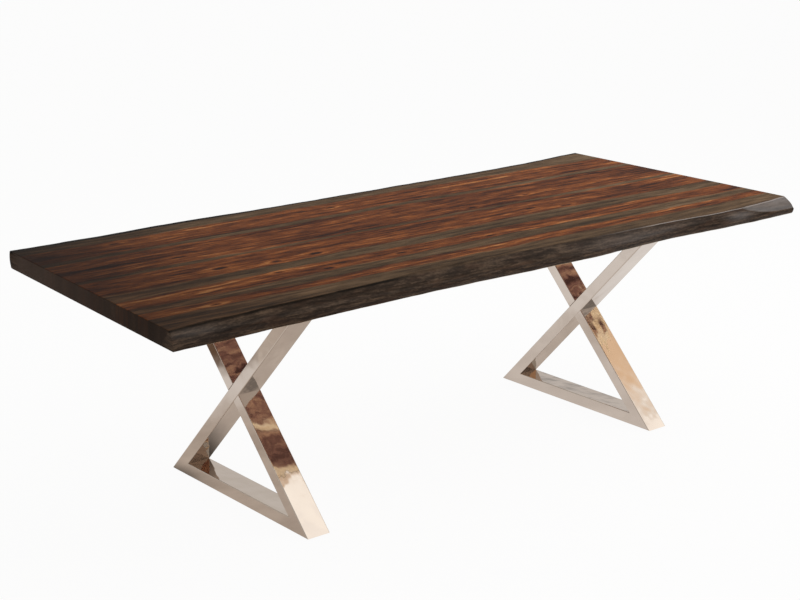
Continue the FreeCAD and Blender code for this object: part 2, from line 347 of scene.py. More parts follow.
# Each sway of the grain: height, length along the board, width across it, place in the noise.
SWAYS = ((46.0, 640.0, 260.0, 0.0), (13.0, 150.0, 42.0, 5.0), (4.0, 46.0, 15.0, 7.0))
KNOT_STRETCH = 2.6
KNOT_PULL = 0.7
KNOT_RAGGED = 0.9


class Plank(Finish):
    """The finish of one board, with its coordinates, its numbers and its own place in the noise."""

    def __init__(self, name, board):
        super().__init__(bpy.data.materials.new(name))
        self.board = board
        self.seed = board["seed"] * SEED_STEP
        self.x, self.y, self.z = self.place()


def lay_grain(wood):
    """Grain is y plus a lean and three sways, drawn towards each knot.

    Knots and halos are masks: dark middles, and the bright wood round them. A place's reach from a knot
    is its distance from the middle, with x shortened, over the knot's size.
    """
    x, y, seed = wood.x, wood.y, wood.seed
    grain = y + wood.board["lean"] * x
    for height, length, width, shift in SWAYS:
        grain = grain + height * wood.waver(x / length, y / width, seed + shift)
    ragged = KNOT_RAGGED * wood.waver(x / 17, y / 7, seed + 80, detail=3.0)
    wood.knots, wood.halos = 0.0, 0.0
    for knot_x, knot_y, size in wood.board["knots"]:
        off = grain - knot_y
        reach = (((x - knot_x) / KNOT_STRETCH) ** 2 + off * off) ** 0.5 / size + ragged
        grain = grain - off * KNOT_PULL * wood.fall(reach, 0.4, 3.2)
        wood.knots = wood.knots + wood.fall(reach, 0.30, 1.0)
        wood.halos = wood.halos + wood.rise(reach, 0.7, 1.1) * wood.fall(reach, 1.3, 2.8)
    wood.grain = grain


print("grain sways by up to", sum(sway[0] for sway in SWAYS) / 2, "mm each way")

# %% [markdown]
# The figure is what the eye reads as wood. Growth rings are noise along the
# distance from the pith, and because the pith wanders up and down along the
# board, the rings close into cathedrals on the faces and cut into arcs on the
# ends. Fibres, flecks and pores are noise drawn out along the grain.

# %% Rings, flecks, fibres and pores
TOP_Z = 762.0
PITH_WANDER, PITH_DEPTH = 70.0, 0.8


def lay_figure(wood):
    """Figure is a weighted sum of rings, flecks and fibres about 0, less thin dark veins and short dashes.

    The radius of a ring is the root of the squares of its distance from the pith across and down.
    """
    x, y, z, seed, grain = wood.x, wood.y, wood.z, wood.seed, wood.grain
    depth = PITH_WANDER * wood.waver(x / 430, seed + 9) + PITH_DEPTH * (TOP_Z - z)
    radius = ((grain - wood.board["pith"]) ** 2 + depth * depth) ** 0.5
    rings = wood.waver(x / 520, radius / 19, seed + 13, detail=1.5)
    veins = wood.fall(abs(wood.waver(x / 520, radius / 22, seed + 70)), 0.0, 0.04)
    flecks = wood.waver((x + 0.9 * grain) / 84, grain / 12, seed + 50, detail=4.0, roughness=0.62)
    dashes = wood.rise(wood.cloud((x + 1.3 * grain) / 36, grain / 7, seed + 60, detail=1.0), 0.60, 0.72)
    wood.fibres = wood.waver((x + 6.0 * grain) / 70, grain / 1.7, z / 1.7, detail=3.0, roughness=0.6)
    wood.pores = wood.rise(wood.cloud((x + 7.0 * y) / 16, y / 0.9, z / 0.9, detail=1.0), 0.62, 0.72)
    wood.patches = wood.waver(x / 430, grain / 62, seed + 21)
    wood.figure = 1.2 * rings + 1.6 * flecks + 0.5 * wood.fibres - 0.10 * veins - 0.16 * dashes


print("pith wanders by", PITH_WANDER / 2, "mm each way")

# %% [markdown]
# Heart and sapwood differ in colour, and their border is ragged because the dye
# of the heart creeps along single fibres. Two masks could be painted by hand.
# Here a border is a limit across the grain with a long and a short waver added,
# so it frays the way the fibres run. The top is stained, with painted shade that
# darkens it towards the left end, and the underside is left raw.

# %% Heart, sapwood and the raw underside
HEART_MIDDLE, SAP_MIDDLE = 0.505, 0.53
STREAK_FADE = 60.0
HEART_SOFT, RAW_SOFT, RUN_OUT_SOFT = 6.0, 5.0, 28.0
# Where the left end's painted shade and its extra heart are full, and where they fade out.
LEFT_END_X, LEFT_FADE_X = -1260.0, -520.0


def lay_tones(wood):
    """Places of heart and sap on their colour stops: a middle plus figure, patches and streaks.

    A streak is a lift inside a soft oblong. Knots darken the heart, and their halos lighten it.
    """
    x, seed, grain = wood.x, wood.seed, wood.grain
    limit = grain + 30.0 * wood.waver(x / 190, grain / 10, seed + 30)
    wood.limit = limit + 19.0 * wood.waver((x + 2.0 * grain) / 54, grain / 4, seed + 33, detail=3.0)
    heart = HEART_MIDDLE + wood.board["warmth"] + wood.figure + 0.8 * wood.patches
    sap = SAP_MIDDLE + 0.75 * wood.figure + 0.8 * wood.patches
    for start, end, middle, half, lift in wood.board["streaks"]:
        across = wood.fall(abs(wood.limit - middle), 0.2 * half, 1.2 * half)
        streak = lift * wood.band(x, start, end, STREAK_FADE) * across
        heart, sap = heart + streak, sap + streak
    wood.heart_tone = heart - 0.5 * wood.knots + 0.16 * wood.halos
    wood.sap_tone = sap


def stained_faces(wood):
    """Heart between its limits and sap outside, with painted shade towards the left end, and darker in the
    pores.
    """
    left_end_share = wood.fall(wood.x, LEFT_END_X, LEFT_FADE_X)
    heart = wood.band(wood.limit, *wood.board["heart"], HEART_SOFT)
    heart = heart + 0.25 * left_end_share * (1 - heart)
    faces = wood.blend(heart, wood.ramp(wood.sap_tone, SAP_STOPS), wood.ramp(wood.heart_tone, HEART_STOPS))
    # Painted shade: the faces darken towards the left end, by a share set for each board.
    faces = wood.shade(faces, 1.0 - wood.board["painted_left_shade"] * left_end_share)
    return wood.shade(faces, 1.0 - 0.35 * wood.pores)


def raw_underside(wood):
    """The same boards unstained: pale sap, and a grey brown heart that runs out along x in frayed tongues."""
    under = wood.board["under"]
    low, high = under["heart"]
    end = under["runs_out"]
    tongues = wood.x + under["slant"] * (wood.y - 0.5 * (low + high)) + 2.0 * (wood.grain - wood.y)
    frayed = wood.waver(wood.x / 600, wood.grain / 11, wood.seed + 36, detail=3.0)
    tongues = tongues + under["fray"] * frayed
    heart = wood.band(wood.limit, low, high, RAW_SOFT)
    heart = heart * wood.fall(tongues, end - RUN_OUT_SOFT, end + RUN_OUT_SOFT)
    pale_sap = wood.ramp(wood.sap_tone, RAW_SAP_STOPS)
    return wood.blend(heart, pale_sap, wood.ramp(wood.heart_tone, RAW_HEART_STOPS))


print("widest heart", max(b["heart"][1] - b["heart"][0] for b in BOARDS.values()), "mm")

# %% [markdown]
# The natural edge has a skin of its own: dark and weathered where the bark came
# away, with inner bark in warm patches, and smoother where sanding touched it,
# with a clear coat and a painted grey sheen there. The mesh of the edge, made
# further on, says where: it carries one number for bark and one for wear and
# painted sheen at each point, and the shader reads them.

# %% The skin of the natural edge
FRONT_TO_BACK = (-100.0, 100.0)
# Painted shade under the top arris: how deep below the top it reaches, and where it stops on the front.
CREASE_SHADE_DEPTH = (3.0, 8.0)
CREASE_SHADE_END = (-480.0, -330.0)


def natural_skin(wood, colour, gloss, relief):
    """Cover colour, gloss and relief with skin where bark is 1, a painted grey sheen where wear is high, and
    the coat that wear polishes on it.

    Weather is three layers of noise, long, middling and fine, that share the surface as their weights say.
    """
    x, y, z, seed = wood.x, wood.y, wood.z, wood.seed
    bark = wood.node("Attribute", {"attribute_name": "bark"}, output="Fac")
    worn = wood.node("Attribute", {"attribute_name": "worn"}, output="Fac")
    front = wood.fall(y, *FRONT_TO_BACK)
    swirl = z + 9.0 * wood.waver(x / 210, z / 45, seed + 40)
    layers = 0.45 * wood.waver(x / 130, swirl / 9, y / 90, detail=4.0, roughness=0.6)
    layers = layers + 0.30 * wood.waver((x + 1.5 * swirl) / 42, swirl / 4.4, seed + 44, detail=3.0)
    layers = layers + 0.25 * wood.waver(x / 11, swirl / 3.2, y / 8, detail=3.0, roughness=0.65)
    weather = 0.505 + 1.75 * layers

    warm = 0.6 * wood.rise(wood.cloud(x / 95, swirl / 13, seed + 52, detail=3.0), 0.50, 0.68)
    skin = wood.blend(warm, wood.ramp(weather, BARK_STOPS), wood.shade(INNER_BARK, 0.2 + 1.6 * weather))
    # Painted sheen: where wear is high the skin turns to a reflected grey, brightest on the arris line.
    painted_sheen = wood.shade(SHEEN_GREY, 0.15 + 1.3 * weather + 1.2 * wood.rise(worn, 0.95, 1.25))
    colour = wood.blend(bark, colour, wood.blend(worn * 0.9, skin, painted_sheen))

    # Painted shade in the crease under the top arris: all along the back, and on the front only at the left.
    unshaded = wood.rise(x, *CREASE_SHADE_END) * front
    crease_shade = bark * wood.fall(TOP_Z - z, *CREASE_SHADE_DEPTH) * (1 - unshaded)
    colour = wood.shade(colour, 1.0 - 0.8 * crease_shade)
    gloss = gloss + bark * 0.20 * (weather - 0.5)
    relief = relief + bark * (1.4 * (weather - 0.5)) * (1 - worn)
    return colour, gloss, relief, bark * (0.14 + 0.5 * worn) * front


print("crease ends on the front near x", CREASE_SHADE_END[1], "mm")

# %% [markdown]
# The pieces of the pattern now come together in one Principled shader for each
# board. Where the surface faces decides what it shows: ends are sealed and dark,
# the top and sides are stained satin, and the underside is raw.

# %% Put each board's finish together
SATIN = 0.34
SEALED_SHARE = 0.88
SPECULAR_LEVEL, COAT_ROUGHNESS = 0.008, 0.28
RELIEF_STRENGTH, RELIEF_DEPTH = 0.35, 0.0004


def wood_finish(name, board, live):
    """One board: stained faces, dark ends, a raw underside and, where live, the skin of a natural edge."""
    wood = Plank(name, board)
    lay_grain(wood)
    lay_figure(wood)
    lay_tones(wood)

    facing = wood.node("SeparateXYZ", inputs={0: wood.node("NewGeometry", output="Normal")})
    ends = wood.rise(abs(facing.also("X")), 0.55, 0.85)
    below = wood.rise(facing.also("Z") * -1.0, 0.6, 0.9)
    faces = stained_faces(wood)
    sealed = wood.shade(END_STAIN, 0.75 + 0.5 * wood.patches + 0.95 * wood.rise(wood.y, -380, 500))
    colour = wood.blend(ends, faces, wood.blend(SEALED_SHARE, faces, sealed))
    colour = wood.blend(below, colour, raw_underside(wood))
    gloss = SATIN + 0.14 * wood.fibres + 0.14 * ends + 0.20 * below
    relief = 0.55 * wood.fibres - 0.6 * wood.pores
    coat = 0.0
    if live:
        colour, gloss, relief, coat = natural_skin(wood, colour, gloss, relief)
    return wood.close({
        "Base Color": colour, "Roughness": gloss, "Specular IOR Level": SPECULAR_LEVEL,
        "Coat Weight": coat, "Coat Roughness": COAT_ROUGHNESS,
        "Normal": wood.bump(relief, RELIEF_STRENGTH, RELIEF_DEPTH)})


WOOD = {name: wood_finish(name + "_finish", board, "live" in name) for name, board in BOARDS.items()}
print("wood finishes", sorted(WOOD))

# %% [markdown]
# ## The natural edges
# The long edges were never sawn: they follow the outside of the trunk, cleaned
# of bark and sanded. Sculpting would do, but a formula is easier to change. The
# edge is a sheet of two parameters, the place along the board and the depth
# below the top, and its height is how far the wood stands out there. A smooth
# curve through nine measured stations gives the big sway, and a few sine waves
# give the small ripples that a drawknife follows.

# %% How far the edge stands out
THICKNESS = 53.0
LEFT_X, RIGHT_X = -1219.0, 1219.0
LENGTH = RIGHT_X - LEFT_X
STATIONS = np.linspace(-1231.0, 1231.0, 9)
# Stand-out of the top arris, the belly and the lower arris at each station, in millimetres.
FRONT_EDGE = np.array([
    (7, 25, 28), (-13, 16, 21), (-22, 12, 12), (-35, 16, 8), (-31, 24, 16),
    (-16, 27, 20), (-9, 15, 7), (9, 27, 20), (-18, 26, 20),
], float)
BACK_EDGE = np.array([
    (8, 12, 5), (2, 6, -3), (9, 13, 1), (-4, 1, -11), (-7, -1, -13),
    (-7, -1, -13), (-8, -2, -14), (1, 6, -8), (29, 32, 18),
], float)
FRONT_BELLY, BACK_BELLY = 37.0 / THICKNESS, 25.0 / THICKNESS
# Each ripple: length along the edge, height, lean with depth, phase.
RIPPLES = (
    (263.0, 1.5, 0.9, 0.4), (141.0, 1.0, -1.3, 2.1), (83.0, 0.55, 1.7, 4.0),
    (47.0, 0.25, -2.4, 1.2), (29.0, 0.15, 3.1, 5.3),
)
SWELL_LENGTHS = 4.3
TURN = 2 * np.pi


def through(values, x):
    """Catmull-Rom curve: between two stations, the cubic that keeps the slope of their outer neighbours."""
    place = (x - STATIONS[0]) / (STATIONS[1] - STATIONS[0])
    left = np.clip(np.floor(place).astype(int), 0, len(STATIONS) - 2)
    f = place - left
    padded = np.concatenate([[2 * values[0] - values[1]], values, [2 * values[-1] - values[-2]]])
    a, b, c, d = (padded[left + k] for k in range(4))
    return b + 0.5 * f * (c - a + f * (2 * a - 5 * b + 4 * c - d + f * (3 * (b - c) + d - a)))


def ripple(x, t):
    """Sum of sine waves along x whose phase leans with the depth t and whose height swells and fades."""
    waves = 0.0
    for length, high, lean, phase in RIPPLES:
        swell = 0.6 + 0.4 * np.sin(TURN * x / (SWELL_LENGTHS * length) + 2.0 * phase)
        waves = waves + high * swell * np.sin(TURN * (x / length + 0.2 * lean * t) + phase)
    return waves


def stand_out(stations, belly_depth, x, t):
    """A quarter sine from arris to belly, then a quarter cosine back to the lower arris, plus ripples."""
    top, belly, low = (through(stations[:, k], x) for k in range(3))
    upper = np.sin(TURN / 4 * np.clip(t / belly_depth, 0.0, 1.0))
    lower = 1.0 - np.cos(TURN / 4 * np.clip((t - belly_depth) / (1.0 - belly_depth), 0.0, 1.0))
    return top + (belly - top) * upper + (low - belly) * lower + ripple(x, t)


sample_x = np.linspace(LEFT_X, RIGHT_X, 200)[:, None]
sample = stand_out(FRONT_EDGE, FRONT_BELLY, sample_x, np.linspace(0, 1, 9))
print("front edge stands out from", sample.min().round(1), "to", sample.max().round(1), "mm")

# %% [markdown]
# Sanding leaves three marks on these edges. At the right end of the front a flat
# facet is scooped out of the upper half, and painted with the grey of a
# reflection. A few places along the front get a thicker coat and a painted sheen,
# and the arris on the right half a painted highlight line. And the arris, the
# line where top and edge meet, is rounded, softly left of the middle and crisply
# elsewhere. At the back the top has a dark rim in the bark's colour, under painted
# crease shade. Each is a formula in x, so it can be moved by one number.

# %% Facet, painted sheen, arrises and rim
FACET_START, FACET_FADE, FACET_DEPTH = 966.0, 80.0, 0.66
FACET_SCOOP, FACET_SOFT, FACET_LEAST = 3.0, 0.02, 0.05
# Patches of painted sheen on the front edge, with a thicker coat: strength, middle x, reach along x, middle
# depth, reach in depth.
SHEEN_PATCHES = (
    (0.72, 946.0, 58.0, 0.44, 0.22), (0.24, -1140.0, 80.0, 0.30, 0.26), (0.42, 450.0, 210.0, 0.36, 0.26),
)


def smooth(value, low, high):
    """Soft step: 3t^2 - 2t^3, with t the value's place from low to high."""
    t = np.clip((value - low) / (high - low), 0.0, 1.0)
    return t * t * (3.0 - 2.0 * t)


def facet_limit(x):
    """Depth of the sanded facet: from nothing at its left tip towards its full share of the thickness."""
    return FACET_DEPTH * (1.0 - np.exp(-np.clip(x - FACET_START, 0.0, None) / FACET_FADE))


def sheen(x, t):
    """Painted sheen of the patches, counted as wear: the highest of a few hills, each e to minus the squared
    distance.
    """
    hills = [
        strength * np.exp(-((x - place) / reach) ** 2 - ((t - depth) / spread) ** 2)
        for strength, place, reach, depth, spread in SHEEN_PATCHES]
    return np.maximum.reduce(hills)


def bright_line(x):
    """Painted highlight along the front arris on the right half, counted as wear, which also thickens the
    coat.
    """
    return 1.3 * smooth(x, 220.0, 640.0)


def front_arris(x):
    """Radius of the front top arris: soft left of the middle, crisp elsewhere."""
    return 1.6 + 4.5 * smooth(x, -480.0, -340.0) * (1 - smooth(x, -150.0, 60.0))


def back_arris(x):
    """Radius of the back top arris, the same all along."""
    return np.full_like(x, 2.5)


def rim_width(x):
    """Width of the dark rim along the back of the top, in the bark's colour and under painted crease shade:
    broad at the left, narrow from the middle on.
    """
    return 14.0 + 14.0 * (1 - smooth(x, -650.0, -150.0))


print("facet reaches", round(float(facet_limit(RIGHT_X)), 2), "of the thickness at the right end")

# %% [markdown]
# A board is then one closed ring of points, seam, top, arris, edge, arris and
# underside, carried along the length. The rings stand close together near the
# ends, where sanding leaves a small round. One table holds what differs between
# the two boards, so the same functions make both.

# %% The two live edges
STEP = 4.0
NEAR_END = np.array([0.0, 0.12, 0.45, 1.0, 1.8, 3.0, 4.6, 6.6, 9.0])
middle_rings = np.arange(12.0, LENGTH - 11.0, STEP)
FROM_LEFT = np.concatenate([NEAR_END, middle_rings, LENGTH - NEAR_END[::-1]])[:, None]
# Each edge: line is the y that it stands out from, seam the y of its glue line, corner the radius of its
# sawn corners, rim how dark the rim on its top is.
LIVE_EDGES = {
    "front_live_edge_board": {
        "piece": "front_live_edge", "side": -1.0, "line": -500.0, "seam": -317.0, "corner": 1.5, "rim": 0.0,
        "stations": FRONT_EDGE, "belly": FRONT_BELLY, "arris": front_arris, "sanded": True,
    },
    "back_live_edge_board": {
        "piece": "back_live_edge", "side": 1.0, "line": 500.0, "seam": 253.0, "corner": 7.0, "rim": 1.0,
        "stations": BACK_EDGE, "belly": BACK_BELLY, "arris": back_arris, "sanded": False,
    },
}
print(len(FROM_LEFT), "rings along each of", len(LIVE_EDGES), "boards")

# %% Rings of a live edge board
BARK_POINTS, ARRIS_POINTS = 40, 6
LOW_ROUND = 4.0
# Columns of points on the flat faces, as shares of the way from the seam, and on the rim, of its width.
FLAT_SHARES = np.array([0.0, 0.35, 0.7])
RIM_SHARES = np.array([1.0, 0.5])


def bezier(t, first, corner, last):
    """Quadratic curve from first to last that leaves and arrives along the lines to the corner."""
    return (1 - t) ** 2 * first + 2 * t * (1 - t) * corner + t ** 2 * last


def sanded_out(edge, x, t):
    """Stand-out less the facet's scoop, and the facet's share: 1 above its limit and 0 below."""
    limit = facet_limit(x) if edge["sanded"] else np.zeros_like(x)
    share = smooth(limit - t, -FACET_SOFT, FACET_SOFT) * (limit > 0.0)
    scoop = FACET_SCOOP * smooth(t / np.maximum(limit, FACET_LEAST), 0.0, 1.0)
    return stand_out(edge["stations"], edge["belly"], x, t) - share * scoop, share


def live_rings(edge, x, seam_out):
    """Stand-out, depth, bark and wear with painted sheen of every point, one row for each ring.

    Five strips lie side by side: top, Bezier arris, natural edge, Bezier lower arris and underside.
    """
    round_top = edge["arris"](x)
    t_top, t_low = round_top / THICKNESS, 1.0 - LOW_ROUND / THICKNESS
    t = t_top + (t_low - t_top) * np.linspace(0.0, 1.0, BARK_POINTS)
    # Wear here is also painted sheen: the facet, the patches and the arris line get a reflected grey and a
    # thicker coat.
    bark_out, wear_sheen = sanded_out(edge, x, t)
    wear_sheen = np.maximum(wear_sheen, sheen(x, t)) if edge["sanded"] else wear_sheen
    arris_highlight_wear = bright_line(x) if edge["sanded"] else np.zeros_like(x)

    turn = np.linspace(0.0, 1.0, ARRIS_POINTS)
    top_out, low_out = (stand_out(edge["stations"], edge["belly"], x, end) for end in (0.0, 1.0))
    top_start, low_start = top_out - round_top, low_out - LOW_ROUND
    arris_out = bezier(turn, top_start, top_out, sanded_out(edge, x, t_top)[0])
    lower_out = bezier(turn, sanded_out(edge, x, t_low)[0], low_out, low_start)
    top_face = seam_out + (top_start - seam_out) * FLAT_SHARES
    top_flat = np.hstack([top_face, top_start - rim_width(x) * RIM_SHARES])
    low_flat = seam_out + (low_start - seam_out) * FLAT_SHARES[::-1]

    rim = edge["rim"]
    rim_bark = np.zeros(top_flat.shape[1])
    rim_bark[-1] = rim
    inner = slice(1, -1)
    strips = (
        (top_flat, 0.0, rim_bark, 0.0),
        (arris_out, turn ** 2 * round_top, rim + (1 - rim) * turn, arris_highlight_wear),
        (bark_out[:, inner], t[:, inner] * THICKNESS, 1.0, wear_sheen[:, inner]),
        (lower_out, THICKNESS - (1 - turn) ** 2 * LOW_ROUND, 1 - turn, 0.0),
        (low_flat, THICKNESS, 0.0, 0.0),
    )
    return [np.hstack([np.broadcast_to(strip[k], strip[0].shape) for strip in strips]) for k in range(4)]


print(ARRIS_POINTS, "points round each arris and", BARK_POINTS, "down each natural edge")

# %% [markdown]
# The rings become a mesh of quads with a face over each end. The left end was
# sawn a little out of square, so each point's x is stretched to fit between a
# slanting left end and a straight right one.

# %% Make the two live edge boards
END_ROUND = 3.0
LEFT_SKEW, SKEW_CORNER = 0.064, -528.0
SHARP_ANGLE = math.radians(40)


def end_inset(far, radius):
    """How far a rounded corner pulls in at a distance from the end: radius minus its circle's height."""
    gap = np.clip(radius - far, 0.0, radius)
    return radius - np.sqrt(radius * radius - gap * gap)


def board_points(edge, seam_out, out, deep):
    """Points in metres: rings shrink near the ends towards seam and mid plane, and fit the skewed end."""
    far = np.minimum(FROM_LEFT, LENGTH - FROM_LEFT)
    half = THICKNESS / 2
    deep = half + (deep - half) * (1 - end_inset(far, END_ROUND) / half)
    width = out.max(axis=1, keepdims=True) - seam_out
    out = seam_out + (out - seam_out) * (1 - end_inset(far, edge["corner"]) / width)
    y = edge["side"] * out + edge["line"]
    left = LEFT_X + LEFT_SKEW * (y - SKEW_CORNER)
    along = left + (RIGHT_X - left) * FROM_LEFT / LENGTH
    return np.stack([along, y, TOP_Z - deep], axis=-1) / MM_PER_METRE


def ring_mesh(name, points, fields, order):
    """Quads between neighbouring rings and a face over each end, turned round where the order is -1."""
    rows, ring = points.shape[:2]
    index = np.arange(rows * ring).reshape(rows, ring)
    after = np.roll(index, -1, axis=1)
    quads = np.stack([index[:-1], after[:-1], after[1:], index[1:]], axis=-1).reshape(-1, 4)
    caps = [index[0, ::-1][::order].tolist(), index[-1][::order].tolist()]
    mesh = bpy.data.meshes.new(name)
    mesh.from_pydata(points.reshape(-1, 3).tolist(), [], quads[:, ::order].tolist() + caps)
    for label, values in fields.items():
        layer = mesh.attributes.new(label, "FLOAT", "POINT")
        layer.data.foreach_set("value", values.astype(np.float32).ravel())
    mesh.shade_smooth()
    mesh.set_sharp_from_angle(angle=SHARP_ANGLE)
    mesh.update()
    return mesh


for node, edge in LIVE_EDGES.items():
    seam_out = edge["side"] * (edge["seam"] - edge["line"])
    out, deep, bark, wear_sheen = live_rings(edge, LEFT_X + FROM_LEFT, seam_out)
    points = board_points(edge, seam_out, out, deep)
    mesh = ring_mesh(edge["piece"], points, {"bark": bark, "worn": wear_sheen}, int(edge["side"]))
    mesh.materials.append(WOOD[node])
    piece = bpy.data.objects.new(edge["piece"], mesh)
    bpy.context.scene.collection.objects.link(piece)
    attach(piece, "table")
    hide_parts(node)
    across = points[..., 1].round(4)
    print(piece.name, out.shape, "y from", across.min(), "to", across.max(), "m")

# %% [markdown]
# ## Polished steel and the small hardware
# The legs are stainless tube polished to a mirror, with the faint waves that a
# buffing wheel leaves. A flat mirror shader would do, but straight reflections
# look drawn, so long shallow waves bend what the tube mirrors. The plates are
# brushed, the bolts, nuts, washers and stems are zinc plated, the inserts are
# brass, the dowels beech and the pads moulded nylon. All of these are one streaky
# finish, because close up they differ only in colour, gloss and the length of
# their streaks.

# %% Metal, beech and nylon
STEEL_STOPS = [(0.3, (0.60, 0.52, 0.46)), (0.7, (0.65, 0.57, 0.505))]
# Each finish: darker colour, lighter colour, metal or not, roughness, size of its streaks along x, y and z.
STREAKY = {
    "plate_steel": ((0.38, 0.37, 0.35), (0.50, 0.48, 0.46), 1.0, 0.38, (25.0, 0.8, 4.0)),
    "zinc_steel": ((0.50, 0.50, 0.49), (0.64, 0.64, 0.62), 1.0, 0.30, (2.0, 2.0, 6.0)),
    "insert_brass": ((0.62, 0.42, 0.16), (0.74, 0.53, 0.23), 1.0, 0.30, (2.0, 2.0, 2.0)),
    "dowel_beech": ((0.50, 0.33, 0.19), (0.63, 0.44, 0.27), 0.0, 0.60, (3.0, 18.0, 3.0)),
    "nylon_pad": ((0.018, 0.018, 0.019), (0.032, 0.032, 0.034), 0.0, 0.55, (1.2, 1.2, 1.2)),
}


def steel_finish():
    """Mirror steel: a warm grey, very smooth, with long shallow waves and faint buffing lines."""
    steel = new_finish("polished_steel_finish")
    x, y, z = steel.place()
    waves = steel.cloud(x / 60, y / 95, z / 95, roughness=0.35)
    buffing = steel.waver(x / 1.2, y / 45, z / 45)
    return steel.close({
        "Base Color": steel.ramp(steel.cloud(x / 160, y / 160, z / 160), STEEL_STOPS), "Metallic": 1.0,
        "Roughness": 0.045 + 0.05 * buffing + 0.03 * waves, "Normal": steel.bump(waves, 0.6, 0.0038)})


def streaky_finish(name, dark, light, metal, gloss, grain):
    """Streaks and specks, half each, mix two colours and roughen the surface: noise, long or round."""
    made = new_finish(name)
    x, y, z = made.place()
    streaks = made.cloud(x / grain[0], y / grain[1], z / grain[2], detail=3.0)
    specks = made.cloud(x / 9, y / 9, z / 9, detail=3.0)
    return made.close({
        "Base Color": made.ramp(0.5 * streaks + 0.5 * specks, [(0.35, dark), (0.65, light)]),
        "Metallic": metal,
        "Roughness": gloss + 0.22 * (streaks - 0.5) + 0.10 * (specks - 0.5),
        "Normal": made.bump(streaks, 0.3, 0.0002)})


METAL = {name: streaky_finish(name + "_finish", *look) for name, look in STREAKY.items()}
METAL["polished_steel"] = steel_finish()
print("hardware finishes", sorted(METAL))

# %% [markdown]
# The CAD pieces keep their shape and only change their finish. It could be
# chosen piece by piece, but the last word of a piece's name already says what it
# is, so a short list of words dresses them all.

# %% Dress the CAD pieces
FINISH_BY_WORD = {
    "arm": "polished_steel", "bar": "polished_steel", "plate": "plate_steel", "bolts": "zinc_steel",
    "washers": "zinc_steel", "nuts": "zinc_steel", "stem": "zinc_steel", "inserts": "insert_brass",
    "pad": "nylon_pad", "seam": "dowel_beech",
}
dressed = 0
for node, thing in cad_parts.items():
    word = node.rsplit("_", 1)[-1]
    material = METAL[FINISH_BY_WORD[word]] if word in FINISH_BY_WORD else WOOD.get(node)
    if material and node not in LIVE_EDGES:
        thing.data.materials.clear()
        thing.data.materials.append(material)
        dressed += 1
print("dressed", dressed, "of", len(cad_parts), "CAD nodes; the live edges replace the rest")

# %% [markdown]
# ## Floor, light and air
# The photograph has a plain white ground. The floor is a wide pale sheet that
# the camera sees as white, while light still falls on it, so the table keeps a
# soft shadow. Polished legs need something to mirror, and plain white would make
# them look flat. So where the floor is mirrored it shows paper tones with painted
# shade under the table and behind it, a painted lit gap and a painted dark
# reflection, which the camera never sees directly.

# %% Floor
FLOOR_REACH = 40.0
floor_mesh = bpy.data.meshes.new("floor")
floor_corners = np.array([(-1, -1, 0), (1, -1, 0), (1, 1, 0), (-1, 1, 0)]) * FLOOR_REACH
floor_mesh.from_pydata(floor_corners.tolist(), [], [(0, 1, 2, 3)])
floor = bpy.data.objects.new("floor", floor_mesh)
bpy.context.scene.collection.objects.link(floor)
print("floor", 2 * FLOOR_REACH, "m square")

# %% What the floor shows
OPEN_PAPER = [(0.35, (0.92, 0.91, 0.90)), (0.65, (1.0, 1.0, 1.0))]
SHADED_PAPER = [(0.35, (0.52, 0.46, 0.41)), (0.65, (0.70, 0.63, 0.57))]
BROWN = (0.14, 0.08, 0.045)
WHITE = (1.0, 1.0, 1.0)
MATT_FLOOR = (0.82, 0.82, 0.82)
SHOWN_SHARE = 0.95


def oval(x, y, middle, reach):
    """Distance from the middle of an oval: the root of the squares of x and y, each over its reach."""
    return (((x - middle[0]) / reach[0]) ** 2 + ((y - middle[1]) / reach[1]) ** 2) ** 0.5


def mirrored_paper(sheet):
    """Paper as mirrors see it: painted shade under the table and behind it, painted light in a gap, a painted
    brown reflection in one oval and a painted toe shadow in the other.
    """
    x, y, _ = sheet.place()
    mottle = sheet.cloud(x / 260, y / 260, detail=4.0, roughness=0.6)
    under_x = sheet.rise(x, -1450, -1150) * sheet.fall(x, 1040, 1180)
    under_y = sheet.rise(y, -800, -450) * sheet.fall(y, 500, 1100)
    left_back = sheet.fall(x, -1750, -1250) * sheet.rise(y, 850, 1120)
    lit_gap = sheet.rise(x, -300, 300) * sheet.fall(x, 680, 860)
    shaded = under_x * under_y * (1 - 0.65 * lit_gap) + left_back
    paper = sheet.blend(shaded, sheet.ramp(mottle, OPEN_PAPER), sheet.ramp(mottle, SHADED_PAPER))
    # Painted reflection: a brown oval behind on the left, which only mirrors see.
    brown_patch = oval(x, y, (-1420, 1500), (280, 420))
    paper = sheet.blend(sheet.fall(brown_patch, 0.5, 1.15), paper, BROWN)
    toe_shadow = oval(x, y, (-635, 330), (100, 150))
    return sheet.shade(paper, 0.08 + 0.92 * sheet.rise(toe_shadow, 0.35, 1.6))


pale = new_finish("pale_floor")
seen = pale.node("LightPath", output="Is Camera Ray")
mirrored = seen.also("Is Glossy Ray") + seen.also("Is Transmission Ray")
shown = pale.blend(seen, mirrored_paper(pale), WHITE)
matt = pale.node("BsdfDiffuse", inputs={"Color": MATT_FLOOR})
glow = pale.node("Emission", inputs={"Color": shown, "Strength": 1.0})
ground = pale.node("MixShader", inputs={0: SHOWN_SHARE * seen + SHOWN_SHARE * mirrored, 1: matt, 2: glow})
pale.node("OutputMaterial", inputs={"Surface": ground})
floor_mesh.materials.append(pale.owner)
print("floor finish", pale.owner.name)

# %% [markdown]
# The world is white to the camera. For light and reflections it is a quiet
# gradient that is dim a little above the horizon, because a bright band there
# would lay a haze over the dark top at this low angle.

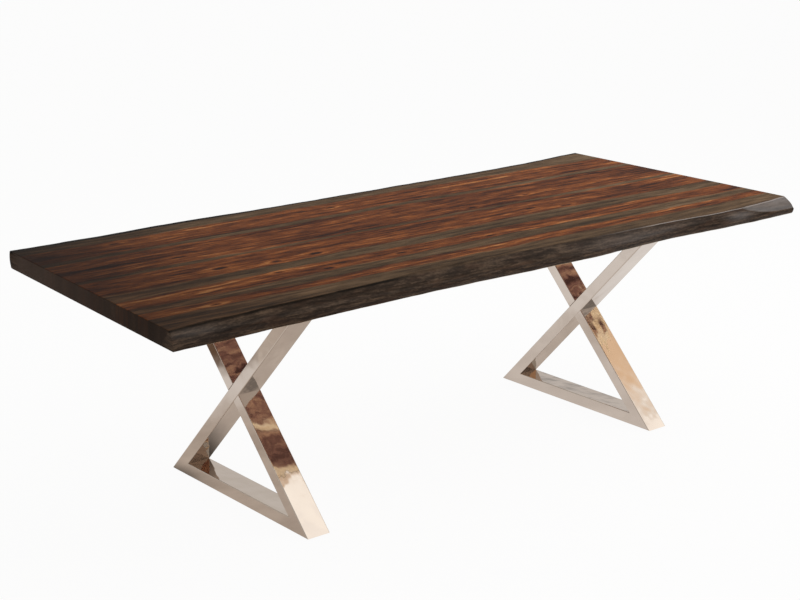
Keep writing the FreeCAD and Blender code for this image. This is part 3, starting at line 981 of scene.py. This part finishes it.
# %% World
SKY_STOPS = [
    (0.19, (0.46, 0.46, 0.46)), (0.25, (0.30, 0.30, 0.30)), (0.33, (0.74, 0.72, 0.70)),
    (0.6, (0.60, 0.58, 0.52)), (1.0, (0.42, 0.42, 0.42)),
]
BACKDROP = (0.985, 0.985, 0.985)
air = Finish(bpy.data.worlds.new("studio_air"))
bpy.context.scene.world = air.owner
height = air.node("SeparateXYZ", inputs={0: air.node("TexCoord", output="Generated")}).also("Z")
straight = air.node("LightPath", output="Is Camera Ray")
backdrop = air.blend(straight, air.ramp(height, SKY_STOPS), BACKDROP)
sky = air.node("Background", inputs={"Color": backdrop, "Strength": 1.0})
air.node("OutputWorld", inputs={"Surface": sky})
print("sky in", len(SKY_STOPS), "tones")

# %% [markdown]
# Two softboxes light the table, and a third on the floor stands for the light
# that pale paper throws back up at the underside. Only matt surfaces see them.
# The cards are the other way round: they hang level above the front and only
# mirrors see them, as strips of cream, tan and white on the lower arms. A studio
# sets up the same cards to shape what polished metal shows.

# %% Lamps and cards
# Each lamp: name, place, what it faces, width and height in metres, radiance.
LAMPS = (
    ("overhead_softbox", (2.0, -0.2, 2.9), (2.0, -0.2, 0.0), (3.6, 4.4), 1.05),
    ("toe_softbox", (2.6, -2.2, 3.2), (0.6, -0.5, 0.0), (4.0, 1.8), 0.9),
    ("floor_bounce", (0.1, 0.0, 0.004), (0.1, 0.0, 1.0), (2.9, 0.95), 1.35),
)
CARD_HEIGHT = 2.6
CREAM = np.array([1.0, 0.46, 0.06])
CREAM_RADIANCE, TONED_GAIN = 0.46, 0.2
TONED_STEPS, TONED_SIZE = 6, (2.7, 0.06)
TONED_X, TONED_START, TONED_REACH = 3.35, -1.40, -0.36
# Steps from cream to white between the cream card and the white one.
tones = (np.arange(TONED_STEPS) + 0.5) / TONED_STEPS
toned_cards = [
    (f"toned_card_{step}", (TONED_X, TONED_START + TONED_REACH * tone), TONED_SIZE,
     CREAM_RADIANCE + TONED_GAIN * tone, CREAM + (1.0 - CREAM) * tone)
    for step, tone in enumerate(tones.tolist())]
# Each card: name, middle (x, y), width and height, radiance, tint.
CARDS = [
    ("cream_card", (2.4, -0.94), (4.6, 0.92), CREAM_RADIANCE, CREAM),
    *toned_cards,
    ("tan_card", (1.05, -1.45), (1.9, 0.10), 0.34, CREAM),
    ("pale_card", (1.05, -1.63), (1.9, 0.26), 0.93, (1.0, 1.0, 0.98)),
    ("white_card", (2.4, -2.36), (4.6, 1.20), 0.86, WHITE),
]


def softbox(name, place, target, size, radiance, tint=WHITE, lights=True):
    """A rectangle of light that faces a target, lamp or card, of power radiance times pi times area."""
    lamp = bpy.data.lights.new(name, "AREA")
    lamp.shape = "RECTANGLE"
    lamp.size, lamp.size_y = size
    lamp.energy = radiance * math.pi * size[0] * size[1]
    lamp.color = tint
    box = bpy.data.objects.new(name, lamp)
    box.visible_diffuse, box.visible_glossy = lights, not lights
    back = np.subtract(place, target)
    back = back / np.linalg.norm(back)
    side = np.cross((0.0, 1.0, 0.0), back)
    side = side / np.linalg.norm(side)
    stand(box, np.column_stack([side, np.cross(back, side), back]), place)
    print(name, round(lamp.energy, 1), "W")


for lamp_row in LAMPS:
    softbox(*lamp_row)
for name, middle, size, radiance, tint in CARDS:
    softbox(name, (*middle, CARD_HEIGHT), (*middle, 0.0), size, radiance, tint, lights=False)

# %% [markdown]
# ## Finish
# The dressed table has to keep the size of the CAD model. The last cell sets the
# Standard view transform.

# %% Finish
bpy.context.scene.view_settings.view_transform = "Standard"
